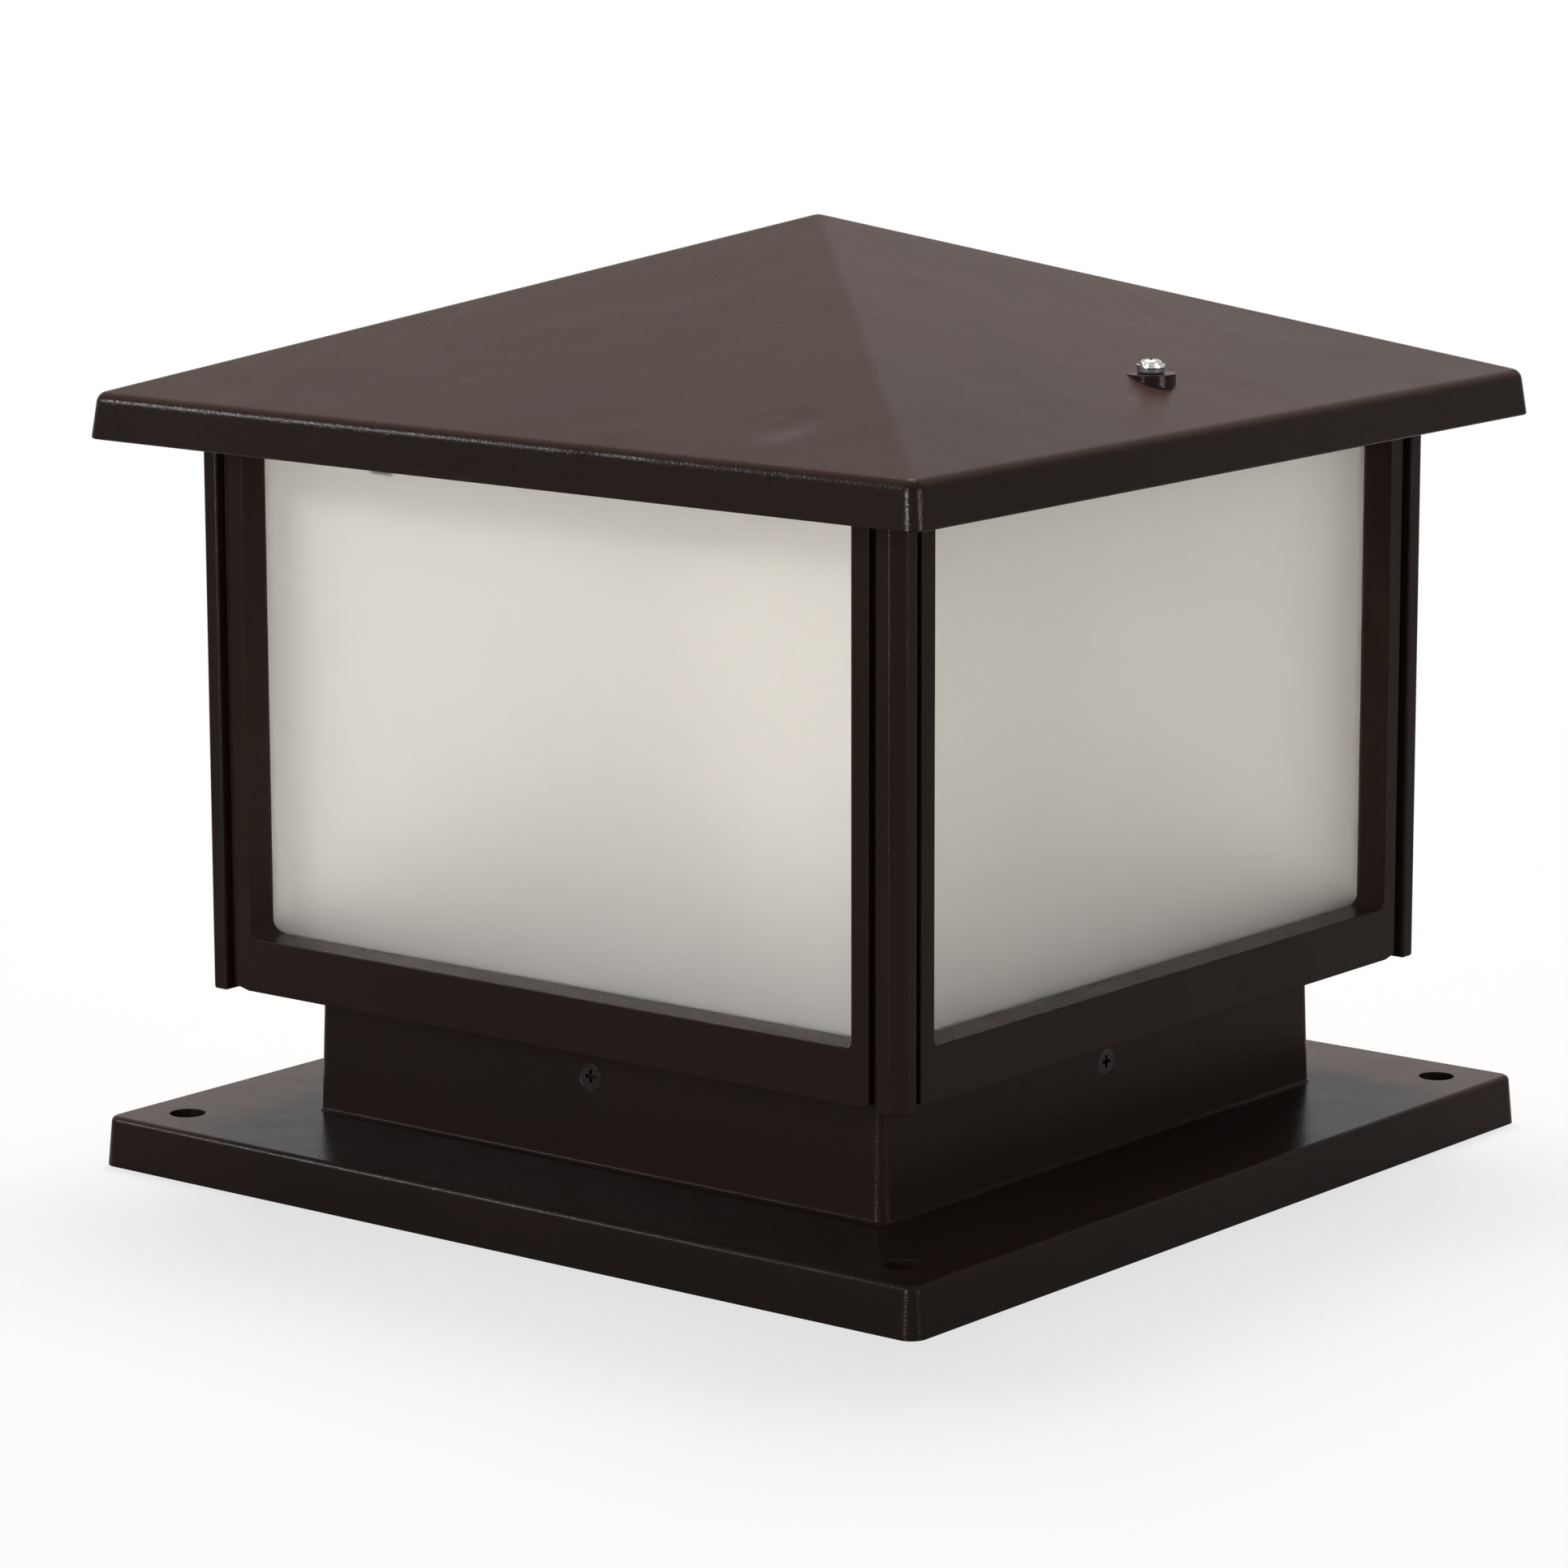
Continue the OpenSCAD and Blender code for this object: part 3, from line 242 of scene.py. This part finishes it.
SLOT_MATERIALS = {
    "bronze_coat": COAT, "bronze_tray": COAT, "frosted_glass": GLASS, "black_screw": BLACK_SCREW,
    "screw_steel": STEEL, "black_rubber": RUBBER, "strip_steel": ZINC, "holder_ceramic": CERAMIC,
    "brass": BRASS, "bulb_opal": OPAL, "cap_metal": CAP_METAL, "black_glass": INSULATOR,
    "block_plastic": NYLON, "lead_brown": BROWN, "lead_blue": BLUE, "lead_green": GREEN,
}


def dress_nodes():
    """Gives every CAD node the material of its slot."""
    for part in frame["record"]["subparts"]:
        data = nodes[part["node"]].data
        data.materials.clear()
        data.materials.append(SLOT_MATERIALS[part["material_slot"]])


# ---------- floor, world and lamps ----------

FLOOR_RADIUS = 6.0
FLOOR_SIDES = 96
FLOOR_GAP = 0.0002         # between the object and the floor
FLOOR_PALE = 0.8           # the floor's colour, where it is seen
FLOOR_BOUNCE = 0.25        # its colour for the light that it throws back at the object
WHITE_SHARE = 0.72         # plain white in the floor near the object, so that its shadow is soft
WHITE_FROM, WHITE_TO = 0.25, 0.8   # where the floor turns into plain white
WORLD_DIM = 0.05           # light from all around
LAMP_AIM = Vector((0, 0, 0.12))
WARM, COOL = (1.0, 0.95, 0.9), (0.8, 0.96, 1.0)


def seen_directly(tree):
    """1 for what the camera, metal and glass see of the stage, 0 for the light it throws back."""
    path = tree.nodes.new("ShaderNodeLightPath")
    seen = path.outputs["Is Camera Ray"]
    for name in ("Is Glossy Ray", "Is Transmission Ray"):
        either = tree.nodes.new("ShaderNodeMath")
        either.operation = "MAXIMUM"
        tree.links.new(seen, either.inputs[0])
        tree.links.new(path.outputs[name], either.inputs[1])
        seen = either.outputs["Value"]
    return seen


def floor_material():
    """Pale and matt where it is lit, mixed with plain white where it is seen, more so further out."""
    material = bpy.data.materials.new("floor_white")
    material.use_nodes = True
    tree = material.node_tree
    seen = seen_directly(tree)
    shaded = tree.nodes["Principled BSDF"]
    shaded.inputs["Roughness"].default_value = 1.0
    shaded.inputs["Specular IOR Level"].default_value = 0.0
    albedo = tree.nodes.new("ShaderNodeMix")
    albedo.data_type = "RGBA"
    albedo.inputs["A"].default_value = (FLOOR_BOUNCE, FLOOR_BOUNCE, FLOOR_BOUNCE, 1)
    albedo.inputs["B"].default_value = (FLOOR_PALE, FLOOR_PALE, FLOOR_PALE, 1)
    tree.links.new(seen, albedo.inputs["Factor"])
    tree.links.new(albedo.outputs["Result"], shaded.inputs["Base Color"])
    place = tree.nodes.new("ShaderNodeTexCoord")
    reach = tree.nodes.new("ShaderNodeVectorMath")
    reach.operation = "LENGTH"
    fade = tree.nodes.new("ShaderNodeMapRange")
    fade.inputs["From Min"].default_value, fade.inputs["From Max"].default_value = WHITE_FROM, WHITE_TO
    fade.inputs["To Min"].default_value, fade.inputs["To Max"].default_value = WHITE_SHARE, 1.0
    tree.links.new(place.outputs["Object"], reach.inputs[0])
    tree.links.new(reach.outputs["Value"], fade.inputs["Value"])
    white = tree.nodes.new("ShaderNodeEmission")
    mix = tree.nodes.new("ShaderNodeMixShader")
    level = tree.nodes.new("ShaderNodeMath")
    level.operation = "MULTIPLY"
    tree.links.new(seen, level.inputs[0])
    tree.links.new(fade.outputs["Result"], level.inputs[1])
    tree.links.new(level.outputs["Value"], mix.inputs["Fac"])
    tree.links.new(shaded.outputs["BSDF"], mix.inputs[1])
    tree.links.new(white.outputs["Emission"], mix.inputs[2])
    tree.links.new(mix.outputs["Shader"], tree.nodes["Material Output"].inputs["Surface"])
    return material


def make_floor():
    mesh = bpy.data.meshes.new("floor")
    bm = bmesh.new()
    bmesh.ops.create_circle(bm, cap_ends=True, segments=FLOOR_SIDES, radius=FLOOR_RADIUS)
    bm.to_mesh(mesh)
    bm.free()
    mesh.materials.append(floor_material())
    floor = bpy.data.objects.new("floor", mesh)
    floor.location.z = -FLOOR_GAP
    bpy.context.scene.collection.objects.link(floor)


def make_world():
    """Dim light from all around, and plain white where it is seen."""
    world = bpy.data.worlds.new("studio")
    world.use_nodes = True
    tree = world.node_tree
    dim = tree.nodes["Background"]
    dim.inputs["Color"].default_value = (1, 1, 1, 1)
    dim.inputs["Strength"].default_value = WORLD_DIM
    white = tree.nodes.new("ShaderNodeBackground")
    white.inputs["Color"].default_value = (1, 1, 1, 1)
    mix = tree.nodes.new("ShaderNodeMixShader")
    tree.links.new(seen_directly(tree), mix.inputs["Fac"])
    tree.links.new(dim.outputs["Background"], mix.inputs[1])
    tree.links.new(white.outputs["Background"], mix.inputs[2])
    tree.links.new(mix.outputs["Shader"], tree.nodes["World Output"].inputs["Surface"])
    bpy.context.scene.world = world


def soft_box(name, azimuth, elevation, distance, width, height, watts, colour=(1, 1, 1), glint=False):
    """A rectangular lamp that faces the middle of the object; a glint lamp shows in gloss only."""
    data = bpy.data.lights.new(name, "AREA")
    data.shape = "RECTANGLE"
    data.size, data.size_y = width, height
    data.energy = watts
    data.color = colour
    lamp = bpy.data.objects.new(name, data)
    away = direction(azimuth, elevation)
    lamp.location = LAMP_AIM + distance * away
    lamp.rotation_mode = "QUATERNION"
    lamp.rotation_quaternion = away.to_track_quat("Z", "Y")
    lamp.visible_camera = False
    lamp.visible_diffuse = lamp.visible_transmission = not glint
    bpy.context.scene.collection.objects.link(lamp)


make_camera()
dress_nodes()
make_floor()
make_world()
# azimuth, elevation, distance, width, height and watts of each lamp
soft_box("back_box", CAMERA_AZIMUTH + 180, 71, 1.8, 0.9, 0.9, 46, WARM)
soft_box("front_box", 0, 14, 1.5, 0.6, 0.6, 3.6, COOL)
soft_box("right_box", 90, 14, 1.5, 0.6, 0.6, 2.0, COOL)
# bright bands on the corners, and the highlight along the front eave
soft_box("front_glint", 1, 4, 1.5, 0.4, 0.35, 55, glint=True)
soft_box("right_glint", 90, 4, 1.5, 0.4, 0.35, 26, glint=True)
soft_box("eave_glint", -45, 21, 1.5, 0.2, 0.12, 20, glint=True)

bpy.context.scene.view_settings.view_transform = "Standard"
